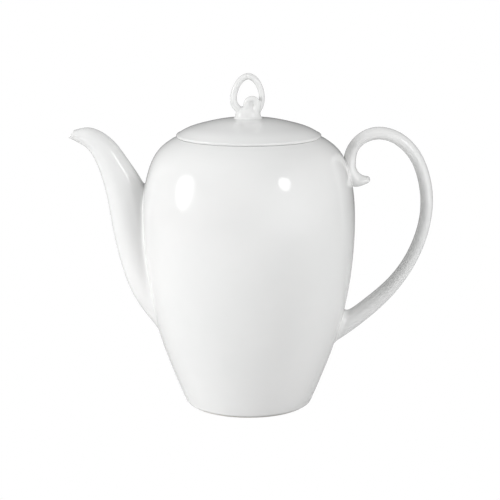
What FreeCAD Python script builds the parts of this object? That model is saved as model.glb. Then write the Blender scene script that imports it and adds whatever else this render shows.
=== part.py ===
import FreeCAD, Part
import math
import os

# A white porcelain coffee pot with a lift-off domed lid.
# Millimetres, +Z up, the pot stands on z = 0 with its axis on Z.
# The spout points to -X and the handle to +X.

os.makedirs("parts", exist_ok=True)
V = FreeCAD.Vector

# ---------------------------------------------------------------- dimensions
WALL = 3.5              # wall of the body
FOOT_H = 3.0            # height of the unglazed standing ring
FOOT_R_OUT = 37.1       # its outer radius where it joins the body
FOOT_R_IN = 31.5        # its inner radius
FOOT_ROUND = 2.4        # rounding of its outer lower edge
FLOOR_Z = 7.5           # inside floor of the pot
BELLY_R = 61.4          # widest radius of the body
BELLY_Z = 108.0         # height of the widest part
RIM_Z = 157.0           # top face of the body, where the lid rests
RIM_R = 41.9            # outer radius of that face
MOUTH_R = 36.5          # radius of the mouth
LEDGE_Z = 152.2         # under side of the ledge round the mouth

LID_R = 41.5            # radius of the lid at its rounded rim
LID_SEAT_R = 40.8       # radius where its under face and its dome meet the rounded rim
LID_TOP = 168.1         # crown of the lid
LID_EDGE = 158.8        # where the dome starts above the rounded rim
FINIAL_X = -0.4         # the finial's neck stands this far towards the spout
FLANGE_R_OUT = 35.3     # flange that drops into the mouth
FLANGE_R_IN = 32.5
FLANGE_Z = 144.4        # lower edge of the flange
LUG_OUT = 3.2           # how far the lug stands out of the flange
LUG_W = 10.0            # its width
LUG_Z = 146.6           # its under side
LUG_H = 3.0             # its height
NOTCH_W = 14.0          # gap in the ledge that lets the lug pass
NOTCH_R = 40.2          # how far out the gap reaches

SPOUT_WALL = 3.0        # wall of the spout
POUR_HOLE_Z = 72.0      # centre height of the pour hole in the body wall
POUR_HOLE_W = 20.0
POUR_HOLE_H = 32.0
POUR_HOLE_TILT = 12.0   # the hole follows the leaning wall, in degrees
POUR_HOLE_X = -44.0     # the hole's cutter starts here, inside the pot

CUT_R = 30.0            # radius, well inside the mouth, where cutters start


# ------------------------------------------------------------------- helpers
def curve(points):
    """Smooth open curve in the XZ plane through (x, z) points."""
    spline = Part.BSplineCurve()
    spline.interpolate(Points=[V(x, 0, z) for x, z in points])
    return spline.toShape()


def line(a, b):
    """Straight edge in the XZ plane between two (x, z) points."""
    return Part.makeLine(V(a[0], 0, a[1]), V(b[0], 0, b[1]))


def arc(a, b, c):
    """Circular edge in the XZ plane through three (x, z) points."""
    return Part.Arc(V(a[0], 0, a[1]), V(b[0], 0, b[1]), V(c[0], 0, c[1])).toShape()


def spin(edges):
    """Solid of revolution about Z of a closed outline in the XZ plane."""
    wire = Part.Wire(Part.__sortEdges__(edges))
    face = Part.Face(wire)
    solid = face.revolve(V(0, 0, 0), V(0, 0, 1), 360)
    if solid.Volume < 0:
        solid.reverse()
    return solid


def ring_section(low, high, half_width, y, flat):
    """Closed section standing on the line low-high, symmetric about the XZ plane.

    flat = 0 gives an ellipse; towards 1 the low side gets flatter.
    """
    steps = 12
    points = []
    for i in range(steps):
        t = 2 * math.pi * i / steps
        u = 0.5 - 0.5 * math.cos(t)
        v = math.sin(t) * (1 + flat * 0.35 * math.cos(t))
        x = low[0] + (high[0] - low[0]) * u
        z = low[1] + (high[1] - low[1]) * u
        points.append(V(x, y + half_width * v, z))
    spline = Part.BSplineCurve()
    spline.interpolate(Points=points, PeriodicFlag=True)
    return Part.Wire(spline.toShape())


def sweep(sections, flat=0.0):
    """Smooth solid through (low x, low z, high x, high z, half width, y) rows."""
    wires = []
    for xa, za, xb, zb, half, y in sections:
        wires.append(ring_section((xa, za), (xb, zb), half, y, flat))
    return Part.makeLoft(wires, True, False)


def strand(stations):
    """Round strand through (x, y, z, in-plane radius, radius in Y) rows."""
    rows = []
    last = len(stations) - 1
    for i, (x, y, z, ra, rb) in enumerate(stations):
        before = stations[max(i - 1, 0)]
        after = stations[min(i + 1, last)]
        dx = after[0] - before[0]
        dz = after[2] - before[2]
        size = math.hypot(dx, dz)
        nx = dz / size
        nz = -dx / size
        rows.append((x - nx * ra, z - nz * ra, x + nx * ra, z + nz * ra, rb, y))
    return sweep(rows)


# --------------------------------------------------------------------- body
def outline():
    """Outer side of the body, from the foot to the rim, as (radius, z)."""
    return [
        (FOOT_R_OUT, FOOT_H),
        (44.9, 22.1),
        (54.3, 50.5),
        (60.0, 83.0),
        (BELLY_R, BELLY_Z),
        (58.2, 135.8),
        (50.6, 150.6),
        (46.4, 154.0),
        (RIM_R, RIM_Z),
    ]


def body_core():
    """The body without its hollow; the spout and handle are trimmed by it."""
    edges = [
        line((0, FOOT_H), (FOOT_R_OUT, FOOT_H)),
        curve(outline()),
        line((RIM_R, RIM_Z), (0, RIM_Z)),
        line((0, RIM_Z), (0, FOOT_H)),
    ]
    return spin(edges)


def body_hollow():
    """The inside of the body up to the mouth."""
    wall = [
        (39.6, 17.8),
        (45.9, 34.0),
        (53.0, 60.0),
        (57.0, 86.0),
        (58.0, 108.0),
        (55.3, 134.0),
        (48.6, 147.4),
        (44.0, 151.0),
    ]
    edges = [
        line((0, FLOOR_Z), (28.0, FLOOR_Z)),
        arc((28.0, FLOOR_Z), (36.0, 10.6), (39.6, 17.8)),
        curve(wall),
        arc((44.0, 151.0), (41.0, 152.0), (38.0, LEDGE_Z)),
        arc((38.0, LEDGE_Z), (36.9, 152.7), (MOUTH_R, 153.8)),
        line((MOUTH_R, 153.8), (MOUTH_R, RIM_Z + 1)),
        line((MOUTH_R, RIM_Z + 1), (0, RIM_Z + 1)),
        line((0, RIM_Z + 1), (0, FLOOR_Z)),
    ]
    return spin(edges)


def pour_hole():
    """Oval hole through the body wall inside the foot of the spout."""
    circle = Part.Circle(V(0, 0, 0), V(1, 0, 0), POUR_HOLE_W / 2)
    disc = Part.Face(Part.Wire(circle.toShape()))
    bar = disc.extrude(V(-30, 0, 0))
    stretch = FreeCAD.Matrix()
    stretch.scale(1, 1, POUR_HOLE_H / POUR_HOLE_W)
    bar = bar.transformGeometry(stretch)
    bar.rotate(V(0, 0, 0), V(0, 1, 0), POUR_HOLE_TILT)
    bar.translate(V(POUR_HOLE_X, 0, POUR_HOLE_Z - 3))
    return bar


def notch():
    """Gap in the mouth ledge on the handle side for the lid's lug."""
    block = Part.makeBox(NOTCH_R - CUT_R, NOTCH_W, 12)
    block.translate(V(CUT_R, -NOTCH_W / 2, RIM_Z - 10))
    limit = Part.makeCylinder(NOTCH_R, 30, V(0, 0, RIM_Z - 20))
    return block.common(limit)


def make_pot_body():
    shell = body_core().cut(body_hollow())
    shell = shell.cut(pour_hole())
    return shell.cut(notch())


def make_foot_ring():
    bottom = FOOT_R_OUT - FOOT_ROUND
    edges = [
        line((FOOT_R_IN, FOOT_H), (FOOT_R_OUT, FOOT_H)),
        arc((FOOT_R_OUT, FOOT_H), (bottom + 1.6, 1.3), (bottom, 0)),
        line((bottom, 0), (33.2, 0)),
        arc((33.2, 0), (32.0, 0.7), (FOOT_R_IN, 2.2)),
        line((FOOT_R_IN, 2.2), (FOOT_R_IN, FOOT_H)),
    ]
    return spin(edges)


# -------------------------------------------------------------------- spout
def spout_rows():
    """Under edge, upper edge and half width, from inside the body to the lip."""
    return [
        (-44.0, 34.0, -29.0, 58.0, 19.5, 0),
        (-55.0, 47.5, -37.0, 67.0, 16.7, 0),
        (-66.8, 64.2, -45.0, 80.0, 14.0, 0),
        (-73.9, 83.0, -51.0, 94.0, 11.6, 0),
        (-78.4, 103.0, -56.0, 110.5, 10.2, 0),
        (-82.0, 124.0, -60.7, 129.8, 9.3, 0),
        (-86.3, 139.3, -69.5, 144.1, 8.1, 0),
        (-92.1, 150.0, -80.2, 157.1, 6.8, 0),
        (-97.7, 153.8, -91.8, 162.3, 6.0, 0),
        (-103.0, 156.5, -99.5, 161.0, 5.4, 0),
    ]


def inset(row, wall):
    """The same section, smaller by the wall all round."""
    xa, za, xb, zb, half, y = row
    size = math.hypot(xb - xa, zb - za)
    ux = (xb - xa) / size * wall
    uz = (zb - za) / size * wall
    return (xa + ux, za + uz, xb - ux, zb - uz, half - wall, y)


def spout_passage():
    """The way the coffee takes, from the body wall to the lip."""
    rows = [inset(row, SPOUT_WALL) for row in spout_rows()[:-2]]
    rows.append(inset(spout_rows()[-2], 2.6))
    rows.append(inset(spout_rows()[-1], 1.6))
    rows.append((-107.5, 158.4, -106.0, 160.3, 3.8, 0))
    return sweep(rows)


def make_spout():
    shell = sweep(spout_rows())
    shell = shell.cut(spout_passage())
    return shell.cut(body_core())


# ------------------------------------------------------------------- handle
def handle_rows():
    """Inner edge, outer edge and half width, from the lower root to the curl."""
    return [
        (42.0, 50.5, 44.0, 32.0, 8.0, 0),
        (57.5, 54.6, 60.0, 42.9, 7.4, 0),
        (65.8, 60.3, 71.7, 52.2, 6.6, 0),
        (79.7, 72.4, 86.4, 67.2, 6.1, 0),
        (90.6, 87.0, 97.3, 84.1, 5.9, 0),
        (96.8, 102.1, 103.6, 100.7, 5.8, 0),
        (99.1, 117.0, 106.2, 117.1, 5.7, 0),
        (97.4, 131.5, 104.7, 133.3, 5.6, 0),
        (91.9, 144.8, 97.5, 150.0, 5.6, 0),
        (82.2, 153.6, 84.9, 160.3, 5.6, 0),
        (73.0, 155.5, 72.9, 162.6, 5.6, 0),
        (65.6, 152.6, 62.7, 158.6, 5.6, 0),
        (62.0, 147.1, 55.7, 149.4, 5.6, 0),
        (61.4, 141.6, 54.4, 140.4, 5.5, 0),
    ]


def curl_rows():
    """The tail of the strap that turns outwards above the belly."""
    return [
        (61.6, 143.6, 54.6, 142.8, 5.5, 0),
        (62.2, 137.8, 56.2, 132.8, 5.5, 0),
        (64.2, 135.5, 60.2, 128.2, 5.3, 0),
        (66.4, 134.5, 65.2, 128.6, 4.9, 0),
        (67.9, 134.2, 67.7, 129.5, 4.3, 0),
        (70.3, 133.3, 70.4, 131.6, 2.4, 0),
    ]


def make_handle():
    strap = sweep(handle_rows(), 0.6)
    curl = sweep(curl_rows(), 0.3)
    return strap.fuse(curl).cut(body_core()).removeSplitter()


# ---------------------------------------------------------------------- lid
def dome():
    """Outer face of the lid from the rounded rim to the crown."""
    points = [(LID_SEAT_R, LID_EDGE), (36.0, 161.5), (28.0, 164.2), (16.0, 166.9), (0, LID_TOP)]
    spline = Part.BSplineCurve()
    spline.interpolate(
        Points=[V(x, 0, z) for x, z in points],
        InitialTangent=V(-0.85, 0, 0.53),
        FinalTangent=V(-1, 0, 0),
    )
    return spline.toShape()


def lid_rim():
    """Rounded edge of the lid, from its resting face up to the dome."""
    return arc((LID_SEAT_R, RIM_Z), (LID_R, (RIM_Z + LID_EDGE) / 2), (LID_SEAT_R, LID_EDGE))


def lid_core():
    """The lid as if solid; the finial is trimmed by it."""
    edges = [
        line((0, RIM_Z), (LID_SEAT_R, RIM_Z)),
        lid_rim(),
        dome(),
        line((0, LID_TOP), (0, RIM_Z)),
    ]
    return spin(edges)


def make_lid():
    edges = [
        line((FLANGE_R_IN, RIM_Z), (LID_SEAT_R, RIM_Z)),
        lid_rim(),
        dome(),
        line((0, LID_TOP), (0, 165.0)),
        arc((0, 165.0), (17.2, 163.0), (FLANGE_R_IN, 158.2)),
        line((FLANGE_R_IN, 158.2), (FLANGE_R_IN, RIM_Z)),
    ]
    return spin(edges)


def make_lid_flange():
    edges = [
        line((FLANGE_R_IN, RIM_Z), (FLANGE_R_OUT, RIM_Z)),
        line((FLANGE_R_OUT, RIM_Z), (FLANGE_R_OUT, FLANGE_Z + 1.2)),
        arc((FLANGE_R_OUT, FLANGE_Z + 1.2), (33.9, FLANGE_Z), (FLANGE_R_IN, FLANGE_Z + 1.2)),
        line((FLANGE_R_IN, FLANGE_Z + 1.2), (FLANGE_R_IN, RIM_Z)),
    ]
    return spin(edges)


def make_lid_lug():
    block = Part.makeBox(10, LUG_W, LUG_H)
    block.translate(V(CUT_R, -LUG_W / 2, LUG_Z))
    reach = Part.makeCylinder(FLANGE_R_OUT + LUG_OUT, 20, V(0, 0, LUG_Z - 5))
    inside = Part.makeCylinder(FLANGE_R_OUT, 20, V(0, 0, LUG_Z - 5))
    lug = block.common(reach).cut(inside)
    corners = []
    for edge in lug.Edges:
        across = edge.BoundBox.XMin > FLANGE_R_OUT + 2.0
        if across:
            corners.append(edge)
    return lug.makeFillet(0.9, corners)


# ------------------------------------------------------------------- finial
def make_finial_foot():
    """Short oval neck that flares onto the crown of the lid."""
    levels = [(166.0, 9.6, 8.4), (168.2, 8.0, 6.8), (169.8, 7.2, 6.1), (171.6, 6.8, 5.5)]
    wires = []
    for z, half_x, half_y in levels:
        points = []
        for i in range(12):
            t = 2 * math.pi * i / 12
            points.append(V(half_x * math.cos(t) + FINIAL_X, half_y * math.sin(t), z))
        spline = Part.BSplineCurve()
        spline.interpolate(Points=points, PeriodicFlag=True)
        wires.append(Part.Wire(spline.toShape()))
    return Part.makeLoft(wires, True, False).cut(lid_core())


def ring_stations():
    """Loop from the left of the neck over the top to the right of the neck."""
    return [
        (-2.4, -0.6, 169.8, 2.2, 2.8),
        (-5.4, -0.5, 172.4, 2.1, 2.7),
        (-8.2, -0.3, 175.9, 2.0, 2.6),
        (-8.6, 0.0, 180.4, 1.9, 2.5),
        (-7.1, 0.0, 185.6, 1.85, 2.5),
        (-4.2, 0.0, 189.8, 1.85, 2.5),
        (-0.4, 0.0, 191.6, 1.85, 2.5),
        (3.6, 0.0, 189.7, 1.8, 2.4),
        (6.3, 0.1, 185.4, 1.7, 2.4),
        (7.5, 0.5, 180.0, 1.65, 2.3),
        (7.0, 0.9, 175.4, 1.65, 2.3),
        (5.0, 1.2, 171.6, 1.7, 2.3),
        (3.0, 1.2, 169.6, 1.7, 2.3),
    ]


def scroll_stations():
    """Curl that rises on the right of the neck, rolls over and ends on its left."""
    return [
        (4.2, -1.5, 171.0, 2.0, 2.7),
        (4.4, -1.7, 173.4, 2.1, 2.5),
        (4.5, -1.9, 175.6, 2.1, 2.4),
        (3.3, -2.0, 178.1, 1.9, 2.3),
        (0.6, -2.0, 178.6, 1.75, 2.3),
        (-1.2, -2.0, 177.2, 1.7, 2.3),
        (-1.8, -1.9, 174.8, 1.8, 2.3),
        (-1.7, -1.7, 172.8, 1.9, 2.5),
        (-1.5, -1.6, 171.0, 1.9, 2.6),
    ]


def eye_stations():
    """Web behind the hollow of the curl."""
    return [
        (1.1, -0.9, 171.0, 2.0, 2.4),
        (1.0, -1.1, 173.6, 2.0, 2.4),
        (1.0, -1.1, 176.8, 1.8, 2.3),
    ]


def make_finial_ring():
    return strand(ring_stations()).cut(make_finial_foot()).cut(lid_core())


def make_finial_scroll():
    curl = strand(scroll_stations()).fuse(strand(eye_stations()))
    return curl.cut(make_finial_foot()).cut(strand(ring_stations())).cut(lid_core())


NODES = {
    "pot_body": make_pot_body,
    "foot_ring": make_foot_ring,
    "spout": make_spout,
    "handle": make_handle,
    "lid": make_lid,
    "lid_flange": make_lid_flange,
    "lid_lug": make_lid_lug,
    "finial_foot": make_finial_foot,
    "finial_ring": make_finial_ring,
    "finial_scroll": make_finial_scroll,
}

for name, build in NODES.items():
    shape = build()
    shape.exportStep("parts/" + name + ".step")
    box = shape.BoundBox
    print(
        name,
        "solids", len(shape.Solids),
        "valid", shape.isValid(),
        "vol", round(shape.Volume),
        "x", round(box.XMin, 1), round(box.XMax, 1),
        "y", round(box.YMin, 1), round(box.YMax, 1),
        "z", round(box.ZMin, 1), round(box.ZMax, 1),
    )
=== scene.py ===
import math

import bpy
import numpy as np
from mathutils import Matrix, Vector


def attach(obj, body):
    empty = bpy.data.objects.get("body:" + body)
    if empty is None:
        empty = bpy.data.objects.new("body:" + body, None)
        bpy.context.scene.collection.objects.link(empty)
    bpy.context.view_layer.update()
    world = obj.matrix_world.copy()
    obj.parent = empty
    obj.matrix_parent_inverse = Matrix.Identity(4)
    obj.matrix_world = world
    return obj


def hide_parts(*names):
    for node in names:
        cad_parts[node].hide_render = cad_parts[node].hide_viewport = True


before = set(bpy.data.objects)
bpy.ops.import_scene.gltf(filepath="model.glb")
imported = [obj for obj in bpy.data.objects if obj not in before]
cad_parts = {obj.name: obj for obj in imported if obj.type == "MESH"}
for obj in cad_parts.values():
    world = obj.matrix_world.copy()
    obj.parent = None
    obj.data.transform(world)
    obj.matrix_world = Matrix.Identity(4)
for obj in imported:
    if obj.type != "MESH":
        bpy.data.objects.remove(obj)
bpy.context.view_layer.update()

MM = 0.001

# Shapes below are in millimetres in the CAD's frame and are scaled when their meshes are made.
TURNS = 192                 # segments round the turned pieces
TURNED_SHARP = 40           # degrees from which their edges are shaded as sharp
SEARCH_STEPS = 1600         # steps along a sweep in the search for its meeting with the body

FOOT_Z = 0.8                # the glaze stops this far above the table
FOOT_ROUND = 0.9            # rounding of the unglazed rim under the pot
FOOT_CENTRES = (33.2, 33.6)     # radii at which its inner and outer rounding are centred
FOOT_EDGES = (32.2, 34.5)   # its inner and outer radius
GLAZE_EDGES = (32.0, 34.6)  # radii at which the glaze stops beside it
UNDER_Z = 3.0               # underside of the body, inside that rim
UNDER_ROUND = (29.8, 1.0, 2.0)      # hollow from the underside to the rim: centre, radius
HEEL_ROUND = (34.3, 3.45, 2.7)      # rounding from the rim up to the body: centre, radius
FLOOR_Z = 7.5               # inside floor
FLOOR_ROUND = 11.5          # rounding from the floor up to the wall
FLOOR_ROUND_R = 28.0        # radius at which it is centred
RIM_Z = 157.0               # top face of the body, where the lid rests
RIM_R = 41.9                # its outer radius
RIM_ROUND = 0.9
MOUTH_R = 36.5              # radius of the opening
MOUTH_ROUND = 0.8
LEDGE_ROUND = 1.4           # lower rounding of the ledge round the opening
LEDGE_ROUND_Z = 153.6       # height at which it is centred
LEDGE_UNDER = [(40.0, 152.0), (42.2, 151.6)]    # underside of the ledge
BODY_OUTLINE = [(37.1, 3.0), (44.9, 22.1), (54.3, 50.5), (60.0, 83.0), (61.3, 108.0),
                (58.2, 135.8), (50.6, 150.6), (46.4, 154.0), (RIM_R, RIM_Z)]
BODY_INSIDE = [(39.6, 17.8), (45.9, 34.0), (53.0, 60.0), (57.0, 86.0),
               (58.0, 108.0), (55.3, 134.0), (48.6, 147.4), (44.0, 151.0)]

POUR_HOLE_HALF_W = 10.0     # oval hole from the body into the spout
POUR_HOLE_HALF_H = 16.0
POUR_HOLE_Z = 69.0
POUR_HOLE_X = -44.0         # its cutter starts here, inside the pot
POUR_HOLE_REACH = 30.0      # and is this long
POUR_HOLE_TILT = 12.0       # degrees, along the leaning wall
NOTCH_LOW = (30.0, -7.0, 146.0)     # gap in the ledge that lets the lug pass
NOTCH_HIGH = (40.2, 7.0, 160.0)

# Spout sections: under edge x z, upper edge x z, half width, from inside the body to the lip.
SPOUT = [
    (-44.0, 34.0, -29.0, 58.0, 19.5),
    (-55.0, 47.5, -37.0, 67.0, 16.7),
    (-66.8, 64.2, -45.0, 80.0, 14.0),
    (-73.9, 83.0, -51.0, 94.0, 11.6),
    (-78.4, 103.0, -56.0, 110.5, 10.2),
    (-82.0, 124.0, -60.7, 129.8, 9.3),
    (-86.3, 139.3, -69.5, 144.1, 8.1),
    (-92.1, 150.0, -80.2, 157.1, 6.8),
    (-97.7, 153.8, -91.8, 162.3, 6.0),
    (-102.5, 156.4, -99.2, 160.9, 5.4),
]
# The soft join at the spout's root, from its under edge round to its upper edge.
SPOUT_JOIN_UP = (2.0, 8.0, 14.0, 12.0, 6.0)     # how far up the spout it starts
SPOUT_JOIN_OUT = (0.8, 1.8, 2.0, 2.5, 3.0)      # how far out over the body it ends
SPOUT_WALLS = [(0.0, 3.0), (0.84, 2.4), (1.0, 1.3)]     # place along the spout, wall
LIP_BULGE = 0.9             # fullness of the rounded lip
PASSAGE_DEPTH = 0.3         # the passage's skin ends this far under the body's outer face

# Handle sections: inner edge x z, outer edge x z, half width, from the lower root to the curl.
HANDLE = [
    (42.0, 50.5, 44.0, 32.0, 8.0),
    (57.5, 54.6, 60.0, 42.9, 7.4),
    (65.8, 60.3, 71.7, 52.2, 6.6),
    (79.7, 72.4, 86.4, 67.2, 6.1),
    (90.6, 87.0, 97.3, 84.1, 5.9),
    (96.8, 102.1, 103.6, 100.7, 5.8),
    (99.1, 117.0, 106.1, 117.1, 5.7),
    (97.4, 131.5, 104.4, 133.2, 5.6),
    (91.9, 144.8, 97.2, 149.8, 5.6),
    (82.2, 153.6, 84.9, 160.3, 5.6),
    (73.0, 155.5, 72.9, 162.6, 5.6),
    (65.6, 152.6, 62.7, 158.6, 5.6),
    (62.0, 147.1, 55.7, 149.4, 5.6),
    (61.4, 141.6, 54.4, 140.4, 5.5),
    (62.2, 137.8, 56.2, 132.8, 5.5),
    (64.2, 135.5, 60.3, 128.2, 5.3),
    (66.3, 134.5, 65.2, 128.9, 4.9),
    (67.6, 134.2, 67.4, 129.8, 4.3),
]

# The same join at the handle's lower root, from its inner edge round to its outer edge.
ROOT_JOIN_UP = (6.0, 5.0, 4.0, 3.0, 2.5)
ROOT_JOIN_OUT = (4.0, 3.5, 3.0, 2.5, 2.0)
JOIN_PULL = 0.6             # how far the joins' control points go towards the corner
SKIRT = 0.8                 # both joins go on this far over the body
SKIRT_SINK = 0.2            # and end this far under its face

CURL_FILLET = (0.2, 0.6, 1.0, 0.6, 0.1)     # where the top of the strap lies on the shoulder
STRAP_FLAT = 0.55           # how much the strap's inner face is flattened
FLAT_POWER = 0.45           # a fully flattened section's face is this much squarer
FLAT_WIDEN = 0.05           # and its sides this much wider
STRAP_SPLIT = 0.35          # place along the strap between the lower join and the fillet
CURL_ROUND_AT = 0.93        # the inner face is fully round again from here on
CURL_ROUND_OVER = 0.12      # and starts to turn round this far before it
CURL_TIP = 2.3              # how far the rounded tip of the curl stands out

LID_R = 41.5
LID_ROUND = 0.95            # rounding of the lid's edge
LID_TOP_Z = 168.1
DOME = [(40.8, 158.8), (36.0, 161.5), (28.0, 164.2), (16.0, 166.9), (0.0, LID_TOP_Z)]
CROWN_Z = 158.2             # the hollow under the dome starts at this height
CROWN_RISE = 6.8            # and rises by this much at the axis
FLANGE_R_OUT = 35.3
FLANGE_R_IN = 32.5
FLANGE_Z = 144.4            # its lower edge
FLANGE_ROW = 5.0            # a row of its wall lies this far under the top
LUG_Z = 148.1               # middle of the lug on the flange
LUG_HALF_W = 5.0
LUG_HALF_H = 1.5
LUG = [(34.6, 1.0), (36.4, 1.0), (37.4, 0.96), (38.1, 0.86), (38.45, 0.68)]   # radius, size

# Finial strands: centre x y z, radius in the plane of the loop, radius across it.
RING = [
    (-2.4, -0.6, 169.8, 2.2, 2.8),
    (-5.4, -0.5, 172.4, 2.1, 2.7),
    (-8.2, -0.3, 175.9, 2.0, 2.6),
    (-8.6, 0.0, 180.4, 1.9, 2.5),
    (-7.1, 0.0, 185.6, 1.85, 2.5),
    (-4.2, 0.0, 189.8, 1.85, 2.5),
    (-0.4, 0.0, 191.6, 1.85, 2.5),
    (3.6, 0.0, 189.7, 1.8, 2.4),
    (6.3, 0.1, 185.4, 1.7, 2.4),
    (7.5, 0.5, 180.0, 1.65, 2.3),
    (7.0, 0.9, 175.4, 1.65, 2.3),
    (5.0, 1.2, 171.6, 1.7, 2.3),
    (3.0, 1.2, 169.6, 1.7, 2.3),
]
SCROLL = [
    (3.4, -1.2, 169.6, 2.4, 3.0),
    (4.2, -1.6, 172.6, 2.3, 2.7),
    (4.7, -1.8, 175.7, 2.1, 2.4),
    (3.8, -1.8, 178.0, 2.0, 2.3),
    (0.6, -2.0, 178.6, 1.75, 2.3),
    (-0.9, -2.0, 177.2, 1.7, 2.3),
    (-1.2, -1.9, 174.8, 1.8, 2.3),
    (-1.0, -1.6, 172.2, 2.3, 2.6),
    (-0.4, -1.2, 169.8, 2.6, 3.0),
]
# The web behind the hollow of the curl.
EYE = [(1.2, -0.9, 171.0, 2.0, 2.4), (1.1, -1.1, 173.8, 1.9, 2.25), (1.1, -1.2, 177.4, 1.8, 2.15)]
# Levels of the neck: half width along X, along Y, height.
NECK = [(9.2, 8.0, 167.1), (7.9, 6.8, 168.2), (7.3, 6.2, 169.3), (7.1, 6.0, 170.4),
        (6.9, 5.6, 171.5), (5.6, 4.4, 172.9), (4.4, 3.4, 174.2)]
NECK_X = -0.4               # the neck stands this far towards the spout
MELT_VOXEL = 0.24           # the finial's strands are melted together at this grain


# ------------------------------------------------------------------ curves
def spline(points):
    """Smooth curve through points, as a function of 0..1 along its chords."""
    p = np.array(points, float)
    span = np.linalg.norm(np.diff(p, axis=0), axis=1)
    t = np.concatenate([[0.0], np.cumsum(span)])
    t /= t[-1]
    n = len(t)
    h = np.diff(t)
    a = np.eye(n)
    b = np.zeros_like(p)
    for i in range(1, n - 1):
        a[i, i - 1:i + 2] = (h[i - 1], 2 * (h[i - 1] + h[i]), h[i])
        b[i] = 6 * ((p[i + 1] - p[i]) / h[i] - (p[i] - p[i - 1]) / h[i - 1])
    m = np.linalg.solve(a, b)

    def at(q):
        q = np.clip(np.asarray(q, float), 0, 1)
        i = np.clip(np.searchsorted(t, q, side="right") - 1, 0, n - 2)
        w = h[i][..., None]
        u = (q - t[i])[..., None]
        v = w - u
        return (
            m[i] * v ** 3 / (6 * w)
            + m[i + 1] * u ** 3 / (6 * w)
            + (p[i] / w - m[i] * w / 6) * v
            + (p[i + 1] / w - m[i + 1] * w / 6) * u
        )

    return at


def arc(cx, cz, r, start, end, steps):
    """Points on a circle between two angles in degrees."""
    out = []
    for k in range(steps + 1):
        a = math.radians(start + (end - start) * k / steps)
        out.append((cx + r * math.cos(a), cz + r * math.sin(a)))
    return out


BODY_LINE = spline(BODY_OUTLINE)(np.linspace(0, 1, 600))


def body_radius(z):
    return np.interp(z, BODY_LINE[:, 1], BODY_LINE[:, 0])


def body_slope(z):
    """Change of the body's radius over one millimetre of height."""
    return body_radius(z + 0.5) - body_radius(z - 0.5)


def body_gap(p):
    """Distance of points from the body's outer face, positive outside."""
    z = p[..., 2]
    reach = np.hypot(p[..., 0], p[..., 1]) - body_radius(z)
    return reach / np.sqrt(1 + body_slope(z) ** 2)


def body_normal(p):
    """Outward normal of the body's face beside each point."""
    r = np.hypot(p[..., 0], p[..., 1])
    return unit(np.stack([p[..., 0] / r, p[..., 1] / r, -body_slope(p[..., 2])], -1))


def on_body(p, sink=0.0):
    """Points moved straight in or out to lie sink under the body's face."""
    r = np.hypot(p[..., 0], p[..., 1])
    moved = p.copy()
    moved[..., :2] *= ((body_radius(p[..., 2]) - sink) / r)[..., None]
    return moved


def unit(v):
    return v / np.linalg.norm(v, axis=-1)[..., None]


# ------------------------------------------------------------------ meshes
def mesh_object(name, verts, faces, sharp):
    """Smooth-shaded object; edges from sharp degrees are shaded as sharp, and 0 means none."""
    mesh = bpy.data.meshes.new(name)
    mesh.from_pydata([tuple(v) for v in np.asarray(verts) * MM], [], faces)
    mesh.validate()
    obj = bpy.data.objects.new(name, mesh)
    bpy.context.scene.collection.objects.link(obj)
    mesh.polygons.foreach_set("use_smooth", [True] * len(mesh.polygons))
    if sharp:
        mesh.set_sharp_from_angle(angle=math.radians(sharp))
    return obj


def grid_faces(rows, cols, wrap_rows=False):
    """Quads of a grid whose columns close on themselves."""
    faces = []
    for i in range(rows if wrap_rows else rows - 1):
        j = (i + 1) % rows
        for k in range(cols):
            m = (k + 1) % cols
            faces.append((i * cols + k, i * cols + m, j * cols + m, j * cols + k))
    return faces


def capped_faces(rows, cols):
    """The same quads with both ends of the grid closed."""
    faces = grid_faces(rows, cols)
    faces.append(tuple(reversed(range(cols))))
    faces.append(tuple(range((rows - 1) * cols, rows * cols)))
    return faces


def turned(name, profile):
    """Closed solid of revolution of a closed (radius, z) outline, which may touch the axis."""
    verts = []
    rings = []
    for r, z in profile:
        if r < 1e-6:
            rings.append([len(verts)])
            verts.append((0, 0, z))
        else:
            rings.append(list(range(len(verts), len(verts) + TURNS)))
            for k in range(TURNS):
                a = 2 * math.pi * k / TURNS
                verts.append((r * math.cos(a), r * math.sin(a), z))
    faces = []
    count = len(rings)
    closed = len(rings[0]) > 1
    for i in range(count if closed else count - 1):
        a, b = rings[i], rings[(i + 1) % count]
        for k in range(TURNS):
            m = (k + 1) % TURNS
            if len(a) == 1 and len(b) == 1:
                break
            if len(a) == 1:
                faces.append((a[0], b[m], b[k]))
            elif len(b) == 1:
                faces.append((a[k], a[m], b[0]))
            else:
                faces.append((a[k], a[m], b[m], b[k]))
    return mesh_object(name, verts, faces, TURNED_SHARP)


def cut(obj, tool):
    """Takes tool's solid out of obj and removes tool."""
    mod = obj.modifiers.new("cut", "BOOLEAN")
    mod.object = tool
    mod.operation = "DIFFERENCE"
    mod.solver = "EXACT"
    freeze(obj)
    bpy.data.objects.remove(tool)


def freeze(obj):
    """Applies obj's modifiers to its mesh."""
    bpy.context.view_layer.update()
    graph = bpy.context.evaluated_depsgraph_get()
    mesh = bpy.data.meshes.new_from_object(obj.evaluated_get(graph))
    old = obj.data
    obj.modifiers.clear()
    obj.data = mesh
    mesh.name = obj.name
    bpy.data.meshes.remove(old)


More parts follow.
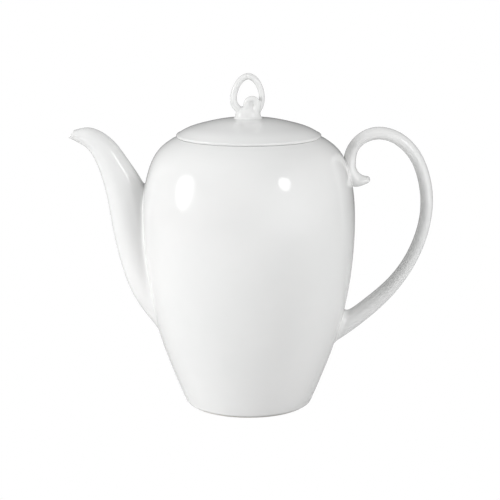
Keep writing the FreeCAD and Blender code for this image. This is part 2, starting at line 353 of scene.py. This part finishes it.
# ---------------------------------------------------------------- swept parts
def section(row, phi, flat):
    """Points and outward normals of a section; phi 0 is its low or inner edge."""
    low = np.stack([row[..., 0], np.zeros(row.shape[:-1]), row[..., 1]], -1)
    high = np.stack([row[..., 2], np.zeros(row.shape[:-1]), row[..., 3]], -1)
    half = row[..., 4]
    mid = (low + high) / 2
    axis = (high - low) / 2
    reach = np.linalg.norm(axis, axis=-1)
    across = axis / reach[..., None]
    c = np.cos(phi)
    s = np.sin(phi)
    inner = (c > 0) * flat
    cc = np.sign(c) * np.abs(c) ** (1 - FLAT_POWER * inner)
    ss = s * (1 + FLAT_WIDEN * inner * np.abs(c))
    point = mid - across * (reach * cc)[..., None]
    point[..., 1] = half * ss
    normal = -across * (c / reach)[..., None]
    normal[..., 1] = s / half
    normal /= np.linalg.norm(normal, axis=-1)[..., None]
    return point, normal


def flared(line, t, phi, flat, fillet):
    """Sweep surface points, spread where they come near the body."""
    point, normal = section(line(t), phi, flat)
    near = np.clip(fillet - body_gap(point), 0, fillet)
    rise = fillet - np.sqrt(np.maximum(fillet ** 2 - near ** 2, 0))
    return point + normal * rise[..., None]


def meeting(surface, phi, start, depth=0.0):
    """For each angle, how far along a surface(t, phi) it dips depth under the body's face.

    The search comes down from start.
    """
    t = np.linspace(start, 0.0, SEARCH_STEPS)
    tt, pp = np.meshgrid(t, phi, indexing="ij")
    inside = body_gap(surface(tt, pp)) < -depth
    return t[np.argmax(inside, axis=0)]


def around(phi, values):
    """Values blended smoothly round a section, from its low edge to its high edge."""
    turn = np.abs((phi + np.pi) % (2 * np.pi) - np.pi) / np.pi
    left = np.clip(np.floor(turn * (len(values) - 1)), 0, len(values) - 2).astype(int)
    u = turn * (len(values) - 1) - left
    u = u * u * (3 - 2 * u)
    v = np.array(values)
    return v[left] * (1 - u) + v[left + 1] * u


def heading(line, before):
    """Direction in which a sweep goes over its last stretch, from before to its end."""
    step = line(1.0) - line(before)
    ahead = np.array([step[0] + step[2], 0, step[1] + step[3]])
    return ahead / np.linalg.norm(ahead)


def joined(line, phi, flat, start, up, out, steps):
    """Rows from under the body's face up on to the sweep, tangent to both.

    Also gives how far along the sweep they leave off, for each angle.
    """
    hit = meeting(lambda t, a: section(line(t), a, flat)[0], phi, start)
    corner, facing = section(line(hit), phi, flat)
    under = body_normal(corner)
    away = unit(facing - (facing * under).sum(-1)[:, None] * under)
    foot = on_body(corner + away * out[:, None])
    under = body_normal(foot)
    away = unit(away - (away * under).sum(-1)[:, None] * under)
    speed = np.linalg.norm(section(line(hit + 0.01), phi, flat)[0] - corner, axis=-1) / 0.01
    leave = hit + up / speed
    top = section(line(leave), phi, flat)[0]
    down = unit(top - section(line(leave + 0.005), phi, flat)[0])
    a = top + down * (JOIN_PULL * np.linalg.norm(corner - top, axis=-1))[:, None]
    b = foot - away * (JOIN_PULL * np.linalg.norm(corner - foot, axis=-1))[:, None]
    rows = [on_body(foot + away * SKIRT, SKIRT_SINK)]
    for k in range(steps):
        u = k / steps
        v = 1 - u
        rows.append(v ** 3 * foot + 3 * v * v * u * b + 3 * v * u * u * a + u ** 3 * top)
    return rows, leave


def inset(row, wall):
    """Sections smaller by the wall all round."""
    across = unit(row[..., 2:4] - row[..., 0:2])
    wall = np.broadcast_to(wall, row.shape[:-1])
    row = row.copy()
    row[..., 0:2] += across * wall[..., None]
    row[..., 2:4] -= across * wall[..., None]
    row[..., 4] -= wall
    return row


def make_spout():
    line = spline(SPOUT)
    cols = 96
    phi = 2 * np.pi * np.arange(cols) / cols

    def outside(t, a):
        return section(line(t), a, 0.0)[0]

    def inside(t, a):
        wall = np.interp(t, *zip(*SPOUT_WALLS))
        return section(inset(line(t), wall), a, 0.0)[0]

    up = around(phi, SPOUT_JOIN_UP)
    out = around(phi, SPOUT_JOIN_OUT)
    rows, root = joined(line, phi, 0.0, 1.0, up, out, 20)
    steps = 100
    for k in range(steps + 1):
        rows.append(outside(root + (1.0 - root) * (k / steps) ** 1.2, phi))

    # the rounded lip
    outer_end = rows[-1]
    inner_end = inside(np.ones(cols), phi)
    mid = (outer_end + inner_end) / 2
    side = (outer_end - inner_end) / 2
    bulge = np.linalg.norm(side, axis=-1)[:, None] * heading(line, 0.975) * LIP_BULGE
    for k in range(1, 8):
        a = math.pi * k / 8
        rows.append(mid + side * math.cos(a) + bulge * math.sin(a))

    # the passage, back down to the body
    stop = meeting(inside, phi, 1.0, PASSAGE_DEPTH)
    steps = 60
    for k in range(steps + 1):
        rows.append(inside(1.0 + (stop - 1.0) * (k / steps), phi))
    verts = np.concatenate(rows)
    return mesh_object("spout_shell", verts, grid_faces(len(rows), cols, True), 50)


def make_handle():
    line = spline(HANDLE)
    cols = 48
    phi = 2 * np.pi * np.arange(cols) / cols
    up = around(phi, ROOT_JOIN_UP)
    out = around(phi, ROOT_JOIN_OUT)
    rows, root = joined(line, phi, STRAP_FLAT, STRAP_SPLIT, up, out, 16)
    steps = 60
    for k in range(steps):
        t = root + (STRAP_SPLIT - root) * (k / steps)
        rows.append(section(line(t), phi, STRAP_FLAT)[0])
    fillet = around(phi, CURL_FILLET)
    for t in np.linspace(STRAP_SPLIT, 1.0, 170):
        flat = STRAP_FLAT * np.clip((CURL_ROUND_AT - t) / CURL_ROUND_OVER, 0, 1)
        rows.append(flared(line, np.full(cols, t), phi, flat, fillet))

    # the rounded tip of the curl
    end = rows[-1]
    mid = end.mean(axis=0)
    ahead = heading(line, 0.985) * CURL_TIP
    for k in range(1, 9):
        a = 0.5 * math.pi * k / 8.4
        rows.append(mid + (end - mid) * math.cos(a) + ahead * math.sin(a))
    verts = np.concatenate(rows)
    faces = grid_faces(len(rows), cols)
    faces.append(tuple(range(cols)))
    faces.append(tuple(reversed(range(len(verts) - cols, len(verts)))))
    return mesh_object("handle_strap", verts, faces, 60)


# ------------------------------------------------------------------ the body
def make_body():
    outer = [tuple(p) for p in spline(BODY_OUTLINE)(np.linspace(0, 1, 110))]
    inner = [tuple(p) for p in spline(BODY_INSIDE)(np.linspace(1, 0, 80))]
    profile = [(r, UNDER_Z) for r in (0.0, 10.0, 20.0, 29.6)]
    profile += arc(*UNDER_ROUND, 80, 0, 6)
    profile += [(r, FOOT_Z) for r in GLAZE_EDGES]
    profile += arc(*HEEL_ROUND, -75, -8, 8)
    profile += outer[:-2]
    profile += arc(RIM_R - RIM_ROUND, RIM_Z - RIM_ROUND, RIM_ROUND, 55, 90, 5)
    profile += [(40.0, RIM_Z), (38.0, RIM_Z)]
    profile += arc(MOUTH_R + MOUTH_ROUND, RIM_Z - MOUTH_ROUND, MOUTH_ROUND, 90, 180, 6)
    profile += arc(MOUTH_R + LEDGE_ROUND, LEDGE_ROUND_Z, LEDGE_ROUND, 180, 262, 8)
    profile += LEDGE_UNDER + inner
    profile += arc(FLOOR_ROUND_R, FLOOR_Z + FLOOR_ROUND, FLOOR_ROUND, -8, -90, 14)[1:]
    profile += [(r, FLOOR_Z) for r in (20.0, 10.0, 0.0)]
    body = turned("pot_wall", profile)
    hole = oval_bar("pour_hole_tool", POUR_HOLE_HALF_W, POUR_HOLE_HALF_H, POUR_HOLE_REACH)
    hole.rotation_euler = (0, math.radians(POUR_HOLE_TILT), 0)
    hole.location = (POUR_HOLE_X * MM, 0, POUR_HOLE_Z * MM)
    cut(body, hole)
    cut(body, block("notch_tool", NOTCH_LOW, NOTCH_HIGH))
    body.data.set_sharp_from_angle(angle=math.radians(TURNED_SHARP))
    return body


def oval_bar(name, half_w, half_h, length):
    """Oval bar from the origin along -X."""
    cols = 64
    verts = []
    for x in (0.0, -length):
        for k in range(cols):
            a = 2 * math.pi * k / cols
            verts.append((x, half_w * math.cos(a), half_h * math.sin(a)))
    return mesh_object(name, verts, [tuple(reversed(f)) for f in capped_faces(2, cols)], 0)


def block(name, low, high):
    x0, y0, z0 = low
    x1, y1, z1 = high
    verts = [(x, y, z) for x in (x0, x1) for y in (y0, y1) for z in (z0, z1)]
    faces = [(0, 1, 3, 2), (4, 6, 7, 5), (0, 4, 5, 1), (2, 3, 7, 6), (0, 2, 6, 4), (1, 5, 7, 3)]
    return mesh_object(name, verts, faces, 0)


def make_foot():
    profile = [(FOOT_EDGES[0], FOOT_Z)]
    profile += arc(FOOT_CENTRES[0], FOOT_ROUND, FOOT_ROUND, 185, 270, 6)
    profile += arc(FOOT_CENTRES[1], FOOT_ROUND, FOOT_ROUND, 270, 355, 6)
    profile += [(FOOT_EDGES[1], FOOT_Z)]
    return turned("foot_unglazed_rim", profile)


def make_lid():
    edge = arc(LID_R - LID_ROUND, RIM_Z + LID_ROUND, LID_ROUND, -80, 60, 14)
    dome = [tuple(p) for p in spline(DOME)(np.linspace(0, 1, 70))][1:-1]
    hollow = []
    for a in np.linspace(math.pi / 2, 0, 40):
        hollow.append((FLANGE_R_IN * math.sin(a), CROWN_Z + CROWN_RISE * math.cos(a)))
    profile = [(0.0, LID_TOP_Z)] + dome[::-1] + edge[::-1]
    profile += [(r, RIM_Z) for r in (39.2, 36.0, FLANGE_R_IN)]
    return turned("lid_dome", profile + hollow)


def make_flange():
    w = (FLANGE_R_OUT - FLANGE_R_IN) / 2
    low = RIM_Z - FLANGE_ROW
    profile = [(FLANGE_R_IN, RIM_Z), (FLANGE_R_OUT, RIM_Z), (FLANGE_R_OUT, low)]
    profile += arc(FLANGE_R_OUT - w, FLANGE_Z + w, w, 0, -180, 12)
    profile += [(FLANGE_R_IN, low)]
    return turned("lid_collar", profile)


def make_lug():
    verts = []
    cols = 40
    for radius, scale in LUG:
        for k in range(cols):
            a = 2 * math.pi * k / cols
            c, s = math.cos(a), math.sin(a)
            y = math.copysign(abs(c) ** 0.5, c) * LUG_HALF_W * scale
            z = LUG_Z + math.copysign(abs(s) ** 0.7, s) * LUG_HALF_H * scale
            verts.append((math.sqrt(radius ** 2 - y ** 2), y, z))
    return mesh_object("lid_lug_nub", verts, capped_faces(len(LUG), cols), 50)


# ---------------------------------------------------------------- the finial
def strand(stations, steps):
    """Closed round strand whose sections stay square to its line in the plane of the loop."""
    cols = 28
    p = spline(stations)(np.linspace(0, 1, steps))
    d = np.gradient(p[:, :3], axis=0)
    d[:, 1] = 0
    d /= np.linalg.norm(d, axis=1)[:, None]
    n = np.stack([d[:, 2], np.zeros(steps), -d[:, 0]], -1)
    verts = []
    for i in range(steps):
        for k in range(cols):
            a = 2 * math.pi * k / cols
            q = p[i, :3] + n[i] * p[i, 3] * math.cos(a)
            q[1] += p[i, 4] * math.sin(a)
            verts.append(q)
    return verts, capped_faces(steps, cols)


def neck():
    cols = 48
    steps = 24
    line = spline(NECK)
    verts = []
    for i in range(steps):
        rx, ry, z = line(i / (steps - 1))
        for k in range(cols):
            a = 2 * math.pi * k / cols
            verts.append((rx * math.cos(a) + NECK_X, ry * math.sin(a), z))
    return verts, capped_faces(steps, cols)


def make_finial():
    verts = []
    faces = []
    for v, f in (strand(RING, 120), strand(SCROLL, 80), strand(EYE, 12), neck()):
        base = len(verts)
        verts += [tuple(x) for x in v]
        faces += [tuple(i + base for i in q) for q in f]
    obj = mesh_object("finial", verts, faces, 0)
    melt = obj.modifiers.new("melt", "REMESH")
    melt.mode = "VOXEL"
    melt.voxel_size = MELT_VOXEL * MM
    melt.use_smooth_shade = True
    calm = obj.modifiers.new("calm", "SMOOTH")
    calm.factor = 0.5
    calm.iterations = 10
    freeze(obj)
    return obj


# ---------------------------------------------------------------- materials
def noise(tree, coords, scale, detail, name):
    node = tree.nodes.new("ShaderNodeTexNoise")
    node.name = name
    node.inputs["Scale"].default_value = scale
    node.inputs["Detail"].default_value = detail
    tree.links.new(coords, node.inputs["Vector"])
    return node.outputs["Fac"]


def ramp(tree, value, low, high, a, b):
    node = tree.nodes.new("ShaderNodeMapRange")
    node.inputs["From Min"].default_value = low
    node.inputs["From Max"].default_value = high
    node.inputs["To Min"].default_value = a
    node.inputs["To Max"].default_value = b
    tree.links.new(value, node.inputs["Value"])
    return node.outputs["Result"]


def tint(tree, value, a, b):
    node = tree.nodes.new("ShaderNodeMix")
    node.data_type = "RGBA"
    node.inputs[6].default_value = (*a, 1)
    node.inputs[7].default_value = (*b, 1)
    tree.links.new(value, node.inputs[0])
    return node.outputs[2]


def bump(tree, height, strength, distance, shader):
    node = tree.nodes.new("ShaderNodeBump")
    node.inputs["Strength"].default_value = strength
    node.inputs["Distance"].default_value = distance
    tree.links.new(height, node.inputs["Height"])
    tree.links.new(node.outputs["Normal"], shader.inputs["Normal"])


def material(name):
    """A new material, its node tree, its shader and its object coordinates."""
    mat = bpy.data.materials.new(name)
    mat.use_nodes = True
    tree = mat.node_tree
    coords = tree.nodes.new("ShaderNodeTexCoord").outputs["Object"]
    return mat, tree, tree.nodes["Principled BSDF"], coords


def glaze(name):
    """White feldspar glaze over porcelain: glossy, with faint ripple and pooling."""
    mat, tree, shader, coords = material(name)
    cloud = noise(tree, coords, 16.0, 3.0, "cloud")
    ripple = noise(tree, coords, 150.0, 2.0, "ripple")
    pores = noise(tree, coords, 1400.0, 1.0, "pores")
    pooled = ramp(tree, cloud, 0.35, 0.65, 0.0, 1.0)
    colour = tint(tree, pooled, (0.745, 0.75, 0.745), (0.775, 0.775, 0.77))
    tree.links.new(colour, shader.inputs["Base Color"])
    tree.links.new(ramp(tree, cloud, 0.3, 0.7, 0.07, 0.12), shader.inputs["Roughness"])
    height = tree.nodes.new("ShaderNodeMath")
    height.operation = "MULTIPLY_ADD"
    tree.links.new(pores, height.inputs[0])
    height.inputs[1].default_value = 0.015      # the pores' share
    tree.links.new(ripple, height.inputs[2])
    bump(tree, height.outputs[0], 0.06, 0.0004, shader)
    shader.inputs["IOR"].default_value = 1.52
    shader.inputs["Coat Weight"].default_value = 0.35
    shader.inputs["Coat Roughness"].default_value = 0.05
    return mat


def bisque(name):
    """Unglazed fired porcelain of the standing rim."""
    mat, tree, shader, coords = material(name)
    grain = noise(tree, coords, 1800.0, 4.0, "grain")
    wear = noise(tree, coords, 60.0, 3.0, "wear")
    worn = ramp(tree, wear, 0.3, 0.7, 0.0, 1.0)
    colour = tint(tree, worn, (0.62, 0.59, 0.54), (0.74, 0.72, 0.68))
    tree.links.new(colour, shader.inputs["Base Color"])
    tree.links.new(ramp(tree, grain, 0.3, 0.7, 0.62, 0.85), shader.inputs["Roughness"])
    bump(tree, grain, 0.35, 0.0002, shader)
    return mat


# -------------------------------------------------------------------- build
GLAZE = glaze("porcelain_glaze")
BISQUE = bisque("porcelain_bisque")

PIECES = [
    (make_body, "pot", GLAZE, "glaze", ("pot_body",)),
    (make_foot, "pot", BISQUE, "bisque", ("foot_ring",)),
    (make_spout, "pot", GLAZE, "glaze", ("spout",)),
    (make_handle, "pot", GLAZE, "glaze", ("handle",)),
    (make_lid, "lid_group", GLAZE, "glaze", ("lid",)),
    (make_flange, "lid_group", GLAZE, "glaze", ("lid_flange",)),
    (make_lug, "lid_group", GLAZE, "glaze", ("lid_lug",)),
    (make_finial, "lid_group", GLAZE, "glaze", ("finial_foot", "finial_ring", "finial_scroll")),
]
for make, body, finish, slot, nodes in PIECES:
    piece = make()
    piece.data.materials.clear()
    piece.data.materials.append(finish)
    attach(piece, body)
    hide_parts(*nodes)


# -------------------------------------------------------------------- stage
STAGE_R = 6000.0            # the floor reaches this far
STAGE_HUB_R = 0.05          # radius of its middle face
STAGE_Z = -0.02             # it lies this much under the pot
STAGE_FADE = (0.2, 0.9)     # metres from the axis between which it fades out


def camera_sees(tree, hidden, seen, output):
    """Shows seen to the camera and hidden to every other ray."""
    path = tree.nodes.new("ShaderNodeLightPath")
    mix = tree.nodes.new("ShaderNodeMixShader")
    tree.links.new(path.outputs["Is Camera Ray"], mix.inputs[0])
    tree.links.new(hidden.outputs[0], mix.inputs[1])
    tree.links.new(seen.outputs[0], mix.inputs[2])
    tree.links.new(mix.outputs[0], tree.nodes[output].inputs["Surface"])


def make_floor():
    verts = []
    cols = 96
    for r in (STAGE_HUB_R, STAGE_R):
        for k in range(cols):
            a = 2 * math.pi * k / cols
            verts.append((r * math.cos(a), r * math.sin(a), STAGE_Z))
    faces = grid_faces(2, cols)
    faces.append(tuple(range(cols)))
    floor = mesh_object("floor", verts, faces, 0)
    mat, tree, shader, place = material("floor_paper")
    shader.inputs["Base Color"].default_value = (0.8, 0.8, 0.8, 1)
    shader.inputs["Roughness"].default_value = 0.9
    shader.inputs["Specular IOR Level"].default_value = 0.0
    far = tree.nodes.new("ShaderNodeVectorMath")
    far.operation = "LENGTH"
    tree.links.new(place, far.inputs[0])
    clear = tree.nodes.new("ShaderNodeBsdfTransparent")
    fade = tree.nodes.new("ShaderNodeMixShader")
    tree.links.new(ramp(tree, far.outputs["Value"], *STAGE_FADE, 0.0, 1.0), fade.inputs[0])
    tree.links.new(shader.outputs[0], fade.inputs[1])
    tree.links.new(clear.outputs[0], fade.inputs[2])
    glow = tree.nodes.new("ShaderNodeEmission")
    glow.inputs["Color"].default_value = (1, 1, 1, 1)
    glow.inputs["Strength"].default_value = 1.0
    camera_sees(tree, fade, glow, "Material Output")
    floor.data.materials.append(mat)


WALLS = [                   # direction, strength and tightness of each pale wall of the light tent
    ((0.7071, -0.7071, 0.0), 1.65, 6.0), ((0.5774, -0.5774, -0.5774), 0.70, 2.0),
    ((-0.5774, 0.5774, 0.5774), 0.64, 2.0), ((0.7071, 0.0, 0.7071), 0.46, 2.0)]


def wall_glow(tree):
    """Light of the tent: each wall fades smoothly away from its own direction."""
    view = tree.nodes.new("ShaderNodeTexCoord").outputs["Generated"]
    total = None
    for way, strength, power in WALLS:
        facing = tree.nodes.new("ShaderNodeVectorMath")
        facing.operation = "DOT_PRODUCT"
        facing.inputs[1].default_value = way
        tree.links.new(view, facing.inputs[0])
        front = tree.nodes.new("ShaderNodeMath")
        front.operation = "MAXIMUM"
        front.inputs[1].default_value = 0.0
        tree.links.new(facing.outputs["Value"], front.inputs[0])
        soft = tree.nodes.new("ShaderNodeMath")
        soft.operation = "POWER"
        soft.inputs[1].default_value = power
        tree.links.new(front.outputs[0], soft.inputs[0])
        add = tree.nodes.new("ShaderNodeMath")
        add.operation = "MULTIPLY_ADD"
        add.inputs[1].default_value = strength
        add.inputs[2].default_value = 0.0
        tree.links.new(soft.outputs[0], add.inputs[0])
        if total is not None:
            tree.links.new(total, add.inputs[2])
        total = add.outputs[0]
    return total


def make_world():
    world = bpy.data.worlds.new("studio")
    bpy.context.scene.world = world
    world.use_nodes = True
    tree = world.node_tree
    back = tree.nodes["Background"]
    back.inputs["Color"].default_value = (1, 1, 1, 1)
    tree.links.new(wall_glow(tree), back.inputs["Strength"])
    seen = tree.nodes.new("ShaderNodeBackground")
    seen.inputs["Color"].default_value = (1, 1, 1, 1)
    seen.inputs["Strength"].default_value = 1.0
    camera_sees(tree, back, seen, "World Output")


# Oval lamps: azimuth and elevation in degrees, distance, width and height in metres, power in
# watts. Azimuth 0 is in front of the pot and grows towards +X. A lamp that is not mirrored
# lights the glaze without a highlight of its own.
LAMPS = [
    ("side", -65, 8, 1.2, 0.5, 0.5, 8.8, False),
    ("over_left", -60, 50, 1.2, 0.6, 0.6, 2.5, False),
    ("over_right", 60, 40, 1.2, 0.6, 0.6, 3.2, False),
    ("window", -74.8, 13.8, 1.2, 0.51, 0.56, 1.9, True),
    ("lamp", 42, 25.7, 1.4, 0.34, 0.38, 1.2, True),
]
LAMP_TARGET_Z = 0.10        # metres, the height that every lamp faces

CAMERA_TARGET = (0.00074, 0, 0.0909)        # metres
CAMERA_ELEVATION = 11.44            # degrees
CAMERA_DISTANCE = 0.9727            # metres from the target
FOCAL_LENGTH = 1677.0 / 500.0       # in widths of the image
SENSOR = 36.0                       # millimetres


def look_back(obj, target, way, distance):
    """Puts a camera or lamp at a distance from its target and turns it to face the target."""
    obj.location = target + way * distance
    obj.rotation_euler = (-way).to_track_quat("-Z", "Y").to_euler()


def softbox(name, azimuth, elevation, distance, width, height, power, mirrored):
    lamp = bpy.data.lights.new(name, "AREA")
    lamp.shape = "ELLIPSE"
    lamp.size = width
    lamp.size_y = height
    lamp.energy = power
    obj = bpy.data.objects.new(name, lamp)
    bpy.context.scene.collection.objects.link(obj)
    a = math.radians(azimuth)
    e = math.radians(elevation)
    way = Vector((math.sin(a) * math.cos(e), -math.cos(a) * math.cos(e), math.sin(e)))
    look_back(obj, Vector((0, 0, LAMP_TARGET_Z)), way, distance)
    obj.visible_camera = False
    obj.visible_glossy = mirrored


def make_camera():
    data = bpy.data.cameras.new("camera")
    data.sensor_width = SENSOR
    data.lens = SENSOR * FOCAL_LENGTH
    data.clip_end = 50.0
    obj = bpy.data.objects.new("camera", data)
    bpy.context.scene.collection.objects.link(obj)
    e = math.radians(CAMERA_ELEVATION)
    way = Vector((0, -math.cos(e), math.sin(e)))
    look_back(obj, Vector(CAMERA_TARGET), way, CAMERA_DISTANCE)
    bpy.context.scene.camera = obj


make_floor()
make_world()
for lamp in LAMPS:
    softbox(*lamp)
make_camera()
bpy.context.scene.view_settings.view_transform = "Standard"
